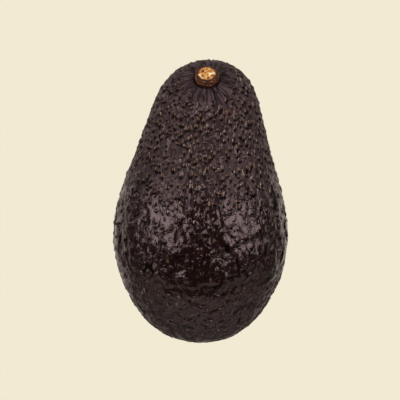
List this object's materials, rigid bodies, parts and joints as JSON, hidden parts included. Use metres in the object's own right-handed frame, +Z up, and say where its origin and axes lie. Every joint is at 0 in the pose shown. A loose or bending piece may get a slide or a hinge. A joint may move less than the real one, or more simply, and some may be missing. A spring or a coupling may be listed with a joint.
{
  "type": "avocado",
  "caption": "Whole ripe avocado with a dark pebbled rind and its cut stem button, lying on a small flat spot.",
  "frame": {"origin": "middle of the flat spot that the fruit rests on", "axes": "+Z up from the surface it lies on, +Y towards the stem end"},
  "size_m": [0.0628, 0.1018, 0.0581],
  "materials": {
    "rind": "waxy, semi-gloss, pebbled, dark purple-brown with small tan pore tips",
    "stem_wood": "dry bark collar with a pale, fibrous cut face"
  },
  "bodies": {
    "root": {"fruit": "rind", "stem_button": "stem_wood"}
  },
  "joints": []
}
